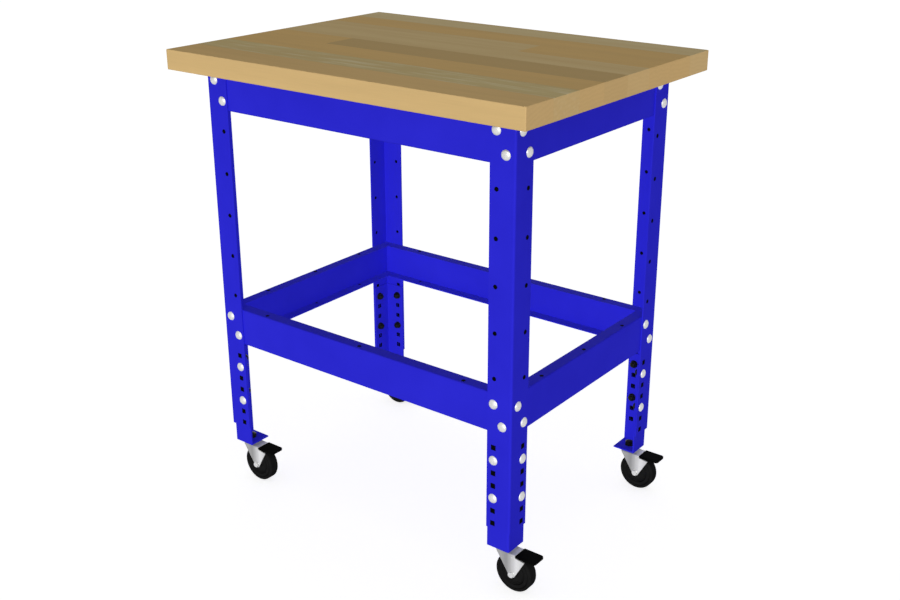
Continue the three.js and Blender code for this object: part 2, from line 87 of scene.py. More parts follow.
def sheet(outline, punches, gauge, folds=(), eased=0.35):
    """A punched blank with eased edges, its outer face on z = 0, folded towards +Z.

    Each fold is (side, start, radius): what lies beyond x = side * start is turned up by a right angle.
    """
    blank = bpy.data.curves.new("blank", "CURVE")
    blank.dimensions = "2D"
    blank.fill_mode = "BOTH"
    blank.bevel_depth = eased
    blank.bevel_resolution = 1
    blank.offset = -eased
    blank.extrude = gauge / 2 - eased
    for points in (outline, *punches):
        spline = blank.splines.new("POLY")
        spline.points.add(len(points) - 1)
        for point, (x, y) in zip(spline.points, points):
            point.co = (x, y, 0, 1)
        spline.use_cyclic_u = True
    carrier = bpy.data.objects.new("blank", blank)
    flat = bpy.data.meshes.new_from_object(carrier)
    bpy.data.objects.remove(carrier)
    bpy.data.curves.remove(blank)
    bm = bmesh.new()
    bm.from_mesh(flat)
    bpy.data.meshes.remove(flat)
    bmesh.ops.remove_doubles(bm, verts=bm.verts, dist=0.005)
    bmesh.ops.translate(bm, vec=(0, 0, gauge / 2), verts=bm.verts)
    for side, start, radius in folds:
        arc = radius * pi / 2
        steps = 5
        for k in range(steps + 1):
            line = side * (start + arc * k / steps)
            parts = bm.verts[:] + bm.edges[:] + bm.faces[:]
            bmesh.ops.bisect_plane(bm, geom=parts, dist=1e-4, plane_co=(line, 0, 0), plane_no=(1, 0, 0))
        for vert in bm.verts:
            beyond = side * vert.co.x - start
            if beyond > 0:
                turn = min(beyond / arc, 1) * pi / 2
                straight = max(beyond - arc, 0)
                depth = radius - vert.co.z
                across = start + depth * sin(turn) + straight * cos(turn)
                vert.co.x = side * across
                vert.co.z = radius - depth * cos(turn) + straight * sin(turn)
    bmesh.ops.dissolve_degenerate(bm, dist=0.002, edges=bm.edges[:])
    return bm


def remap(bm, rule):
    for vert in bm.verts:
        vert.co = rule(*vert.co)
    return bm


def turn_outward(bm):
    """Makes the faces of every closed skin look outward."""
    bmesh.ops.recalc_face_normals(bm, faces=bm.faces)
    left = set(bm.faces)
    while left:
        skin_faces, found = [], [left.pop()]
        while found:
            face = found.pop()
            skin_faces.append(face)
            near = {other for edge in face.edges for other in edge.link_faces} & left
            left -= near
            found += near
        volume = 0.0
        for face in skin_faces:
            first, *others = [vert.co for vert in face.verts]
            volume += sum(first.dot(a.cross(b)) for a, b in zip(others, others[1:]))
        if volume < 0:
            bmesh.ops.reverse_faces(bm, faces=skin_faces)


def shape(name, bm, sharp=32):
    """The finished mesh of a piece, from millimetres to metres, smooth but for its edges."""
    turn_outward(bm)
    bm.transform(Matrix.Scale(0.001, 4))
    mesh = bpy.data.meshes.new(name)
    bm.to_mesh(mesh)
    bm.free()
    mesh.polygons.foreach_set("use_smooth", [True] * len(mesh.polygons))
    mesh.set_sharp_from_angle(angle=radians(sharp))
    return mesh


def fit(name, mesh, place, body, slot, finish, *nodes):
    """Puts a piece in its place on a body, in place of the solids that it stands for."""
    piece = bpy.data.objects.new(name, mesh)
    bpy.context.scene.collection.objects.link(piece)
    piece.matrix_world = place
    if not mesh.materials:
        mesh.materials.append(finish)
    normals = piece.modifiers.new("even normals", "WEIGHTED_NORMAL")
    normals.keep_sharp = True
    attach(piece, body)
    if nodes:
        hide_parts(*nodes)


def fit_corners(places, body, *pieces):
    """Fits like pieces at the four corners, on the frame or on each corner's own body."""
    for corner, place in places.items():
        carrier = body if body == "frame" else f"{corner}_{body}"
        for name, mesh, slot, finish, *nodes in pieces:
            corner_nodes = [f"{corner}_{node}" for node in nodes]
            fit(f"{corner}_{name}", mesh, place, carrier, slot, finish, *corner_nodes)


def at(x, y, z, quarter_turns=0):
    """A place in millimetres, turned about the vertical."""
    turn = Matrix.Rotation(quarter_turns * pi / 2, 4, "Z")
    return Matrix.Translation((x / 1000, y / 1000, z / 1000)) @ turn


class Finish:
    """A material's node tree around one Principled shader."""

    def __init__(self, name, **sockets):
        self.material = bpy.data.materials.new(name)
        self.material.use_nodes = True
        self.tree = self.material.node_tree
        self.shader = self.tree.nodes["Principled BSDF"]
        for socket, value in sockets.items():
            self.shader.inputs[socket.replace("_", " ")].default_value = value

    def add(self, kind, inputs=(), **settings):
        node = self.tree.nodes.new("ShaderNode" + kind)
        for key, value in settings.items():
            setattr(node, key, value)
        for key, value in dict(inputs).items():
            if isinstance(value, bpy.types.NodeSocket):
                self.tree.links.new(value, node.inputs[key])
            else:
                node.inputs[key].default_value = value
        return node

    def math(self, operation, *values):
        """The result of a Math node on values or sockets."""
        return self.add("Math", enumerate(values), operation=operation).outputs[0]

    def mix(self, share, first, second, blend="MIX"):
        """The result of mixing two colours, by a share that is a value or a socket."""
        node = self.add("Mix", {0: share, 6: first, 7: second}, data_type="RGBA", blend_type=blend)
        return node.outputs[2]

    def ramp(self, value, stops, interpolation="LINEAR"):
        """The result of a colour ramp with (place, colour) stops."""
        node = self.add("ValToRGB", {0: value})
        node.color_ramp.interpolation = interpolation
        elements = node.color_ramp.elements
        for _ in range(len(stops) - 2):
            elements.new(0.5)
        for element, (place, colour) in zip(elements, stops):
            element.position = place
            element.color = (*colour, 1)
        return node.outputs[0]

    def noise(self, vector, scale, detail=3.0, roughness=0.55):
        inputs = {"Vector": vector, "Scale": scale, "Detail": detail, "Roughness": roughness}
        return self.add("TexNoise", inputs).outputs[0]

    def place(self):
        """Coordinates on the piece, in metres."""
        return self.add("TexCoord").outputs["Object"]

    def stretch(self, vector, scale):
        return self.add("Mapping", {"Vector": vector, "Scale": scale}).outputs[0]

    def drive(self, socket, value):
        self.tree.links.new(value, self.shader.inputs[socket])

    def wander(self, socket, vector, scale, first, second, detail=3.0):
        """Lets the shader's colour or roughness wander between two tones."""
        self.drive(socket, self.ramp(self.noise(vector, scale, detail), [(0.3, first), (0.7, second)]))

    def bump(self, height, strength, distance):
        node = self.add("Bump", {"Height": height, "Strength": strength, "Distance": distance})
        self.drive("Normal", node.outputs[0])


def grey(value):
    return (value, value, value)


def blue_powder_coat():
    """Smooth blue powder coat: a fine orange peel, and a little unevenness in tone and gloss."""
    coat = Finish("blue_powder_coat", Specular_IOR_Level=0.0, Coat_Weight=0.05, Coat_Roughness=0.45)
    where = coat.place()
    coat.wander("Base Color", where, 9, deep_blue, bright_blue, 2)
    coat.wander("Roughness", where, 60, grey(0.50), grey(0.60))
    coat.bump(coat.noise(where, 620, 2), 0.12, 0.00006)
    return coat.material


powder_coat = blue_powder_coat()


def on_flanges(distance, fold):
    """Places across an angle's flat blank, on either flange, at some distance from the folded corner."""
    return fold - distance, fold * pi / 2 + distance - fold


first_edge, second_edge = on_flanges(leg_flange, leg_fold)
leg_outline = oblong(first_edge, leg_bottom, second_edge, leg_top)
leg_punches = []
for column in on_flanges(hole_column, leg_fold):
    leg_punches += [square_punch(column, height, square_hole) for height in square_heights]
    leg_punches += [round_punch(column, height, round_hole) for height in round_heights]
for rail_bottom in rail_bottoms.values():
    for flange, corner_on_left in ((0, True), (1, False)):
        for distance, height in bolt_places(rail_bottom, corner_on_left):
            leg_punches.append(round_punch(on_flanges(distance, leg_fold)[flange], height, bolt_hole))
leg_blank = sheet(leg_outline, leg_punches, leg_gauge, [(1, 0, leg_fold)])
leg_mesh = shape("leg", remap(leg_blank, lambda x, y, z: (leg_fold - x, z, y)))
leg_places = {
    corner: at(sx * leg_x, sy * leg_y, 0, quarter_turns)
    for quarter_turns, (corner, (sx, sy)) in enumerate(corners.items())
}
fit_corners(leg_places, "frame", ("leg_angle", leg_mesh, "blue_powder_coat", powder_coat, "leg"))

# Rails. Eight channels of 2.5 mm sheet steel with their flanges turned inward, mitred where two of
# them meet inside a leg, drilled for a shelf or the worktop and powder coated with the legs.
rail_inset, rail_flange, rail_gauge, rail_fold = 3.3, 25.4, 2.5, 3.2
rail_hole, rail_hole_line, rail_hole_inset = 6.4, 9.5, 111.8
mitre_clearance = 0.25
rail_arc = rail_fold * pi / 2
web_half = rail_height / 2 - rail_fold
long_sides = ("front", "back")


def on_rail_flange(depth):
    return web_half + rail_arc + depth - rail_fold


def rail_shape(name, leg_corner):
    half = leg_corner - rail_inset
    edge = on_rail_flange(rail_flange)
    outline = oblong(-edge, -half, edge, half)
    line = on_rail_flange(rail_hole_line)
    spread = leg_corner - rail_hole_inset
    punches = [round_punch(side * line, x, rail_hole) for side in (-1, 1) for x in (-spread, 0, spread)]
    channel = sheet(outline, punches, rail_gauge, [(side, web_half, rail_fold) for side in (1, -1)])

    def mitred(height, along, depth):
        limit = half - mitre_clearance - depth
        return max(-limit, min(limit, along)), depth, height + rail_height / 2

    return shape(name, remap(channel, mitred))


long_rail = rail_shape("long_rail", leg_x)
short_rail = rail_shape("short_rail", leg_y)
rail_places = {
    "front": (0, rail_inset - leg_y, 0),
    "right": (leg_x - rail_inset, 0, 1),
    "back": (0, leg_y - rail_inset, 2),
    "left": (rail_inset - leg_x, 0, 3),
}
for side, (x, y, quarter_turns) in rail_places.items():
    for level, rail_bottom in rail_bottoms.items():
        rail_mesh = long_rail if side in long_sides else short_rail
        place = at(x, y, rail_bottom, quarter_turns)
        fit(f"{side}_{level}_rail_channel", rail_mesh, place, "frame", "blue_powder_coat", powder_coat,
            f"{side}_{level}_rail")

# Rail bolts. Zinc-plated carriage bolts with plain domed heads, pressed through each leg's flanges
# and screwed into the rails' webs, two to a rail end. Nothing of them shows inside.
dome_radius, dome_height, dome_rim, dome_ease = 9.2, 4.2, 0.4, 0.3
dome_turns = (0.12, 0.4, 0.7, 1.0, 1.3)
shank_radius, neck_radius, web_reach, tip_chamfer = 3.8, 5.8, 5.2, 0.4
zinc_shade, zinc_light = (0.60, 0.60, 0.595), (0.72, 0.72, 0.71)


def ring(radius, height, steps=24):
    return [(radius * cos(t), radius * sin(t), height) for t in full_turn(steps)]


def prism(sides, radius, height, steps=24, phase=0.0):
    """A ring with flats and as many points as a round one, so that the two can be joined."""
    points = []
    for turn in full_turn(steps):
        reach = radius * cos(pi / sides) / cos((turn - phase) % (2 * pi / sides) - pi / sides)
        points.append((reach * cos(turn), reach * sin(turn), height))
    return points


def skin(bm, rings, place=Matrix.Identity(4), hollow=False):
    """A closed skin over a row of rings, capped at both ends or, if hollow, joined end to start."""
    rows = [[bm.verts.new(place @ Vector(point)) for point in points] for points in rings]
    pairs = list(zip(rows, rows[1:]))
    if hollow:
        pairs.append((rows[-1], rows[0]))
    else:
        bm.faces.new(rows[0])
        bm.faces.new(rows[-1])
    for low, high in pairs:
        for k in range(len(low)):
            bm.faces.new((low[k - 1], low[k], high[k], high[k - 1]))


def carriage_bolt(bm, place, depth, neck_depth=0.0):
    """Domed head outside, a square neck where there is a square hole, and a plain shank."""
    rings = [ring(dome_radius * sin(t), -dome_height * cos(t)) for t in dome_turns]
    rings += [ring(dome_radius, -dome_rim), ring(dome_radius - dome_ease, 0)]
    if neck_depth:
        rings += [prism(4, neck_radius, height, phase=pi / 4) for height in (0, neck_depth)]
    rings += [ring(shank_radius, neck_depth), ring(shank_radius, depth - tip_chamfer)]
    rings.append(ring(shank_radius - tip_chamfer, depth))
    skin(bm, rings, place)


def through_first_flange(distance, height):
    return Matrix.Translation((distance, 0, height)) @ Matrix.Rotation(-pi / 2, 4, "X")


def through_second_flange(distance, height):
    return Matrix.Translation((0, distance, height)) @ Matrix.Rotation(pi / 2, 4, "Y")


def bright_zinc():
    """Bright zinc plate: pale metal with a faint mottle in its tone and gloss."""
    zinc = Finish("bright_zinc", Metallic=0.6)
    where = zinc.place()
    zinc.wander("Base Color", where, 260, zinc_shade, zinc_light, 4)
    zinc.wander("Roughness", where, 90, grey(0.34), grey(0.48))
    zinc.bump(zinc.noise(where, 1500, 2), 0.08, 0.00003)
    return zinc.material


zinc_plate = bright_zinc()
bolts = bmesh.new()
for rail_bottom in rail_bottoms.values():
    for through, corner_on_left in ((through_first_flange, True), (through_second_flange, False)):
        for distance, height in bolt_places(rail_bottom, corner_on_left):
            carriage_bolt(bolts, through(distance, height), web_reach)
bolt_mesh = shape("rail_bolts", bolts)
fit_corners(leg_places, "frame", ("rail_bolts", bolt_mesh, "zinc_plate", zinc_plate))

# Plugs. Black nylon plugs with thin heads, snapped into the holes that nothing uses: the legs' round
# holes, their square holes but for two a flange that take the feet's bolts, and the rails' holes. The
# plugs are painted shade: black pieces that stand in for the darkness inside open holes.
plug_head, plug_lip, plug_clearance = 0.5, 0.6, 0.15
plug_ease, plug_seat, plug_taper, plug_short = 0.3, 0.05, 0.4, 0.2
clamp_rows = (2, 5)
clamp_holes = [square_heights[row] for row in clamp_rows]


def black_nylon(name, dark, light):
    """Moulded black nylon with a fine spark-eroded grain."""
    nylon = Finish(name, Specular_IOR_Level=0.0, Coat_Weight=0.03, Coat_Roughness=0.5)
    where = nylon.place()
    nylon.wander("Base Color", where, 120, grey(dark), grey(light))
    nylon.wander("Roughness", where, 400, grey(0.48), grey(0.62))
    nylon.bump(nylon.noise(where, 1800, 2), 0.15, 0.00005)
    return nylon.material


def square_ring(half, height):
    return [(x, y, height) for x, y in oblong(-half, -half, half, half)]


def shade_plug(bm, place, outline, half_hole, gauge):
    """Fills a hole from the sheet's outer face, with a thin head over the hole's edge: painted shade, a
    black piece where the open hole would show shade.
    """
    lip, body = half_hole + plug_lip, half_hole - plug_clearance
    side = [
        (lip - plug_ease, -plug_head), (lip, plug_ease - plug_head), (lip, -plug_seat), (body, -plug_seat),
        (body, gauge - plug_short - plug_taper), (body - plug_taper, gauge - plug_short),
    ]
    skin(bm, [outline(reach, height) for reach, height in side], place)


nylon_black = black_nylon("black_nylon", 0.0012, 0.0024)
# Black plugs in the legs' spare holes: painted shade for the open holes.
leg_plugs = bmesh.new()
for through in (through_first_flange, through_second_flange):
    for height in round_heights:
        shade_plug(leg_plugs, through(hole_column, height), ring, round_hole / 2, leg_gauge)
    for height in square_heights:
        if height not in clamp_holes:
            shade_plug(leg_plugs, through(hole_column, height), square_ring, square_hole / 2, leg_gauge)
painted_shade_leg_plug_mesh = shape("leg_plugs", leg_plugs)
fit_corners(leg_places, "frame", ("leg_plugs", painted_shade_leg_plug_mesh, "black_plastic", nylon_black))


def rail_shade_plugs(name, leg_corner, on_top):
    """Plugs for one rail, pushed up into its lower flange and, on_top, down into its upper one: painted
    shade, black where the open holes would be dark.
    """
    bm = bmesh.new()
    spread = leg_corner - rail_hole_inset
    for x in (-spread, 0, spread):
        shade_plug(bm, Matrix.Translation((x, rail_hole_line, 0)), ring, rail_hole / 2, rail_gauge)
        if on_top:
            place = Matrix.Translation((x, rail_hole_line, rail_height)) @ Matrix.Rotation(pi, 4, "X")
            shade_plug(bm, place, ring, rail_hole / 2, rail_gauge)
    return shape(name, bm)


# Black plugs in the rails' holes: painted shade for the open holes.
for level, rail_bottom in rail_bottoms.items():
    long_shade_plugs = rail_shade_plugs(f"long_{level}_plugs", leg_x, level == "lower")
    short_shade_plugs = rail_shade_plugs(f"short_{level}_plugs", leg_y, level == "lower")
    for side, (x, y, quarter_turns) in rail_places.items():
        shade_plug_mesh = long_shade_plugs if side in long_sides else short_shade_plugs
        fit(f"{side}_{level}_rail_shade_plugs", shade_plug_mesh, at(x, y, rail_bottom, quarter_turns), "frame",
            "black_plastic", nylon_black)

# Feet. Smaller angles of the same steel that telescope inside the legs, each closed below by a
# welded plate for the caster. Thin black nylon liners in their square holes are painted shade:
# they make the holes read dark, and where a bolt passes they sit between it and the paint.
foot_inset, foot_width, foot_gauge, foot_fold = 3.3, 47.5, 3.0, 3.8
foot_bottom, foot_top = 86.4, 289.1
foot_hole_count = 6
foot_holes = square_heights[:foot_hole_count]
stem_inset, stem_hole = 27.05, 10.6
weld_radius, weld_root, weld_ripple, ripple_turn = 1.6, 0.1, 0.12, 2.2
weld_turns = (0, 0.5, 1.05, 1.57)
plate_gap = 0.1
liner_clearance, liner_wall, liner_recess, liner_proud = 0.05, 0.2, 0.1, 0.15
liner_lip, liner_rim = 0.13, 0.5
foot_first, foot_second = on_flanges(foot_width, foot_fold)
foot_outline = oblong(foot_first, foot_bottom, foot_second, foot_top)
foot_punches = []
for column in on_flanges(hole_column - foot_inset, foot_fold):
    foot_punches += [square_punch(column, height, square_hole) for height in foot_holes]
foot_blank = sheet(foot_outline, foot_punches, foot_gauge, [(1, 0, foot_fold)])
foot_mesh = shape(
    "foot", remap(foot_blank, lambda x, y, z: (foot_inset + foot_fold - x, foot_inset + z, y)))

plate_start, plate_end = foot_inset + foot_gauge + plate_gap, foot_inset + foot_width
plate_outline = oblong(plate_start, plate_start, plate_end, plate_end)
plate = sheet(plate_outline, [round_punch(stem_inset, stem_inset, stem_hole)], foot_gauge)
remap(plate, lambda x, y, z: (x, y, foot_bottom + z))
bead_rise = foot_bottom + foot_gauge
for along_first in (True, False):
    rings = []
    bead_steps = 24
    for k in range(bead_steps + 1):
        along = plate_start + weld_radius + (plate_end - plate_start - 3 * weld_radius) * k / bead_steps
        swell = weld_radius * (1 + weld_ripple * cos(ripple_turn * k))
        section = [(plate_start + swell * cos(t), bead_rise + swell * sin(t)) for t in weld_turns]
        section.append((plate_start - weld_root, bead_rise - weld_root))
        rings.append([(along, s, h) if along_first else (s, along, h) for s, h in section])
    skin(plate, rings)
plate_mesh = shape("foot_plate", plate)

# Black liners in the feet's square holes: painted shade for the open holes.
shade_liners = bmesh.new()
liner_reach = square_hole / 2 - liner_clearance
liner_bore = liner_reach - liner_wall
liner_start, liner_end = foot_inset + liner_recess, foot_inset + foot_gauge + liner_proud
liner_side = [
    (liner_bore, liner_start), (liner_reach, liner_start), (liner_reach, liner_end - liner_lip),
    (liner_reach + liner_rim, liner_end - liner_lip), (liner_reach + liner_rim, liner_end),
    (liner_bore, liner_end),
]
liner_rings = [square_ring(reach, height) for reach, height in liner_side]
for through in (through_first_flange, through_second_flange):
    for height in foot_holes:
        skin(shade_liners, liner_rings, through(hole_column, height), hollow=True)
shade_liner_mesh = shape("foot_liners", shade_liners)
fit_corners(
    leg_places, "foot_set",
    ("foot_angle", foot_mesh, "blue_powder_coat", powder_coat, "foot"),
    ("foot_plate", plate_mesh, "blue_powder_coat", powder_coat),
    ("foot_liners", shade_liner_mesh, "black_plastic", nylon_black),
)

# Foot bolts. Two carriage bolts through each flange of a leg clamp the foot inside it at one hole or
# another, with black flanged cap nuts inside the foot.
cap_nut_gap, tip_gap = 0.2, 0.4
cap_nut_seat = foot_inset + foot_gauge + cap_nut_gap
cap_nut_corner, cap_nut_bore, cap_nut_cavity = 7.5, 4.1, 5.4
cap_nut_flats = (2.2, 5.9)
# The nut's flange and its dome, as (radius, height over the seat)
cap_nut_side = [(8.2, 0), (8.2, 0.8), (7.35, 1.6)]
cap_nut_dome = [(6.45, 6.6), (5.7, 6.9), (5.5, 8.2), (4.7, 9.3), (3.2, 10.1), (1.2, 10.5)]


def black_oxide():
    """Black oxide on steel: nearly black, a little oily."""
    oxide = Finish("black_oxide", Metallic=0.2, Specular_IOR_Level=0.1)
    where = oxide.place()
    oxide.wander("Base Color", where, 300, grey(0.0025), grey(0.005))
    oxide.wander("Roughness", where, 140, grey(0.38), grey(0.55))
    return oxide.material


def cap_nut(bm, place):
    rings = [ring(cap_nut_bore, cap_nut_cavity), ring(cap_nut_bore, 0)]
    rings += [ring(radius, height) for radius, height in cap_nut_side]
    rings += [prism(6, cap_nut_corner, height) for height in cap_nut_flats]
    rings += [ring(radius, height) for radius, height in cap_nut_dome]
    skin(bm, rings, place @ Matrix.Translation((0, 0, cap_nut_seat)))


oxide_black = black_oxide()
clamp_bolts, cap_nuts = bmesh.new(), bmesh.new()
clamp_reach = cap_nut_seat + cap_nut_cavity - tip_gap
for through in (through_first_flange, through_second_flange):
    for height in clamp_holes:
        carriage_bolt(clamp_bolts, through(hole_column, height), clamp_reach, leg_gauge)
        cap_nut(cap_nuts, through(hole_column, height))
clamp_bolt_mesh, cap_nut_mesh = shape("clamp_bolts", clamp_bolts), shape("cap_nuts", cap_nuts)
fit_corners(
    leg_places, "frame",
    ("clamp_bolts", clamp_bolt_mesh, "zinc_plate", zinc_plate),
    ("cap_nuts", cap_nut_mesh, "black_oxide", oxide_black),
)

# Caster stems. A zinc-plated stud stands up from each yoke through a ball race and the foot plate,
# and a black cap nut above the plate holds it. The race is two pressed cups with the balls between.
stem_x, stem_y = leg_x - stem_inset, leg_y - stem_inset
crown_top, crown_gauge = 80.0, 2.4
stem_radius, stem_gap, tip_length, tip_ease, tip_taper = 4.9, 0.2, 1.0, 0.2, 1.2
stem_head_radius, stem_head_height, stem_head_side, stem_head_ease = 7.5, 2.5, 1.5, 0.8
stem_nut_seat, stem_nut_height, stem_nut_corner, stem_nut_cavity = 89.45, 9.5, 9.2, 7.6
stem_nut_foot, stem_nut_shoulder = 0.9, 2.4
nut_foot_share, nut_crown_share = 0.9, 0.86
# The nut's closed top, as (share of its corner radius, drop from the top)
stem_nut_crown = ((nut_crown_share, 1.6), (0.6, 0.5), (0.25, 0))
stem_tip = stem_nut_seat + stem_nut_cavity - tip_gap
thread_depth, thread_pitch = 0.45, 1.25
race_low, race_high, race_bore, race_steps = 80.25, 86.2, 5.4, 40
cup_radius, cup_ease, cone_radius, cone_ease = 14.0, 0.9, 11.8, 0.8
# The lips on both sides of the balls, as (step from the radius, step from the race's middle)
cone_lip, cup_lip = ((0, -1.0), (-1.6, -0.7), (-2.4, 0)), ((-1.2, 0.2), (0, 0.6))
ball_radius, ball_circle, ball_drop, ball_count, ball_steps = 1.25, 10.6, 0.35, 18, 10
ball_turns = (0.3, 0.8, 1.3, 1.84, 2.34, 2.84)
caster_places = {corner: at(sx * stem_x, sy * stem_y, 0) for corner, (sx, sy) in corners.items()}

stem = bmesh.new()
head_top = crown_top - crown_gauge - stem_gap
stem_rings = [
    ring(stem_head_radius - stem_head_ease, head_top - stem_head_height),
    ring(stem_head_radius, head_top - stem_head_side), ring(stem_head_radius, head_top),
    ring(stem_radius, head_top), ring(stem_radius, stem_nut_seat),
]
for k in range(int((stem_tip - stem_nut_seat) / thread_pitch) - 1):
    root = stem_nut_seat + (k + 0.5) * thread_pitch
    stem_rings += [ring(stem_radius - thread_depth, root), ring(stem_radius, root + thread_pitch / 2)]
stem_rings += [ring(stem_radius - tip_ease, stem_tip - tip_length), ring(stem_radius - tip_taper, stem_tip)]
skin(stem, stem_rings)
stem_mesh = shape("caster_stem", stem)

stem_nut = bmesh.new()
stem_nut_top, stem_nut_bore = stem_nut_seat + stem_nut_height, stem_radius + stem_gap
skin(stem_nut, [
    ring(stem_nut_bore, stem_nut_seat + stem_nut_cavity), ring(stem_nut_bore, stem_nut_seat),
    ring(stem_nut_corner * nut_foot_share, stem_nut_seat),
    prism(6, stem_nut_corner, stem_nut_seat + stem_nut_foot),
    prism(6, stem_nut_corner, stem_nut_top - stem_nut_shoulder),
    *(ring(stem_nut_corner * share, stem_nut_top - drop) for share, drop in stem_nut_crown),
])
stem_nut_mesh = shape("stem_nut", stem_nut)

race = bmesh.new()
race_middle = (race_low + race_high) / 2
race_section = [
    (race_bore, race_low), (cone_radius - cone_ease, race_low), (cone_radius, race_low + cone_ease),
    *((cone_radius + out, race_middle + up) for out, up in cone_lip),
    *((cup_radius + out, race_middle + up) for out, up in cup_lip),
    (cup_radius, race_high - cup_ease), (cup_radius - cup_ease, race_high), (race_bore, race_high),
]
skin(race, [ring(radius, height, race_steps) for radius, height in race_section], hollow=True)
ball_rings = [ring(ball_radius * sin(t), -ball_radius * cos(t), ball_steps) for t in ball_turns]
for turn in full_turn(ball_count):
    x, y = ball_circle * cos(turn), ball_circle * sin(turn)
    skin(race, ball_rings, Matrix.Translation((x, y, race_middle - ball_drop)))
race_mesh = shape("swivel_race", race)
fit_corners(
    caster_places, "foot_set",
    ("stem_stud", stem_mesh, "zinc_plate", zinc_plate, "caster_stem"),
    ("stem_hex_nut", stem_nut_mesh, "black_oxide", oxide_black, "stem_nut"),
    ("ball_race", race_mesh, "zinc_plate", zinc_plate, "swivel_race"),
)

# Yokes. Each fork is one blank of 2.4 mm steel, folded down on both sides of the crown into two
# side plates that narrow to the axle, and zinc plated. Two rivets carry the brake pedal.
yoke_half, yoke_fold = 15.1, 3.0
trail, axle_height = 25.4, 38.1
crown_back, crown_reach, step_height = -11.0, 32.0, 74.2
tip_reach, tip_height, toe_radius = 52.0, 71.5, 7.0
axle_hole = 8.4
pivot_x, pivot_height = 24.0, 73.0
rivet_shank, rivet_inner, rivet_radius = 1.45, 11.2, 2.6
# A rivet's head, as (share of its radius, rise over the side plate)
rivet_head = ((1.0, 0.25), (0.7, 0.6), (0.3, 0.8))
side_line = yoke_half - yoke_fold
yoke_arc = yoke_fold * pi / 2
side_top = crown_top - yoke_fold


def touch(x, height, side):
    """Turn, about the axle, of the point where a line from (x, height) touches the toe's circle."""
    dx, dz = x - trail, height - axle_height
    return atan2(dz, dx) + side * acos(toe_radius / hypot(dx, dz))


def on_side_plate(x, height):
    return side_line + yoke_arc + side_top - height, x


front_touch = touch(tip_reach, tip_height, -1)
back_touch = touch(crown_back, crown_top, 1) - 2 * pi
toe_steps = 12
toe_turns = [front_touch + (back_touch - front_touch) * k / toe_steps for k in range(toe_steps + 1)]
toe = [(trail + toe_radius * cos(t), axle_height + toe_radius * sin(t)) for t in toe_turns]
lean = (toe[-1][0] - crown_back) / (crown_top - toe[-1][1])
side_corners = [(crown_reach, step_height), (tip_reach, tip_height)]
half_blank = [(side_line, crown_reach)]
half_blank += [on_side_plate(x, height) for x, height in side_corners + toe]
half_blank += [on_side_plate(crown_back + lean * yoke_fold, side_top), (side_line, crown_back)]
yoke_outline = half_blank + [(-across, x) for across, x in reversed(half_blank)]
axle_across = on_side_plate(trail, axle_height)[0]
yoke_punches = [
    round_punch(0, 0, stem_hole), round_punch(axle_across, trail, axle_hole),
    round_punch(-axle_across, trail, axle_hole),
]
yoke_folds = [(side, side_line, yoke_fold) for side in (1, -1)]
yoke = sheet(yoke_outline, yoke_punches, crown_gauge, yoke_folds)
remap(yoke, lambda across, x, depth: (x, across, crown_top - depth))


def along_axle(x, height, side=1):
    """A place on the yoke's cross axis, its own Z pointing out to one side."""
    return Matrix.Translation((x, 0, height)) @ Matrix.Rotation(-side * pi / 2, 4, "X")


rivet_rings = [ring(rivet_shank, rivet_inner), ring(rivet_shank, yoke_half), ring(rivet_radius, yoke_half)]
rivet_rings += [ring(rivet_radius * share, yoke_half + rise) for share, rise in rivet_head]
for side in (1, -1):
    skin(yoke, rivet_rings, along_axle(pivot_x, pivot_height, side))
yoke_mesh = shape("yoke", yoke)

# Painted sheen along the fork: tones of the plating in broad lighter and darker bands, as (share of the way
# from its back edge to its tip, grey)
fork_sheen_tones = (
    (0.0, 0.40), (0.17, 0.36), (0.39, 0.29), (0.50, 0.41), (0.60, 0.56), (0.74, 0.73), (1.0, 0.60),
)


def sheen_painted_zinc():
    """Zinc plate with a painted sheen: broad lighter and darker bands painted across the fork, and a faint
    mottle.
    """
    zinc = Finish("sheen_painted_zinc", Metallic=0.3)
    where = zinc.place()
    along = zinc.add("SeparateXYZ", {0: where}).outputs[0]
    from_back = zinc.math("SUBTRACT", along, crown_back / 1000)
    share = zinc.math("DIVIDE", from_back, (tip_reach - crown_back) / 1000)
    # Painted sheen: these bands lighten and darken the base colour along the fork.
    sheen_bands = zinc.ramp(share, [(place, grey(tone)) for place, tone in fork_sheen_tones], "EASE")
    mottle = zinc.ramp(zinc.noise(where, 260, 4), [(0.3, grey(0.94)), (0.7, grey(1.0))])
    zinc.drive("Base Color", zinc.mix(1.0, sheen_bands, mottle, "MULTIPLY"))
    zinc.wander("Roughness", where, 90, grey(0.42), grey(0.54))
    return zinc.material


fit_corners(caster_places, "caster", ("yoke_fork", yoke_mesh, "zinc_plate", sheen_painted_zinc(), "caster_yoke"))

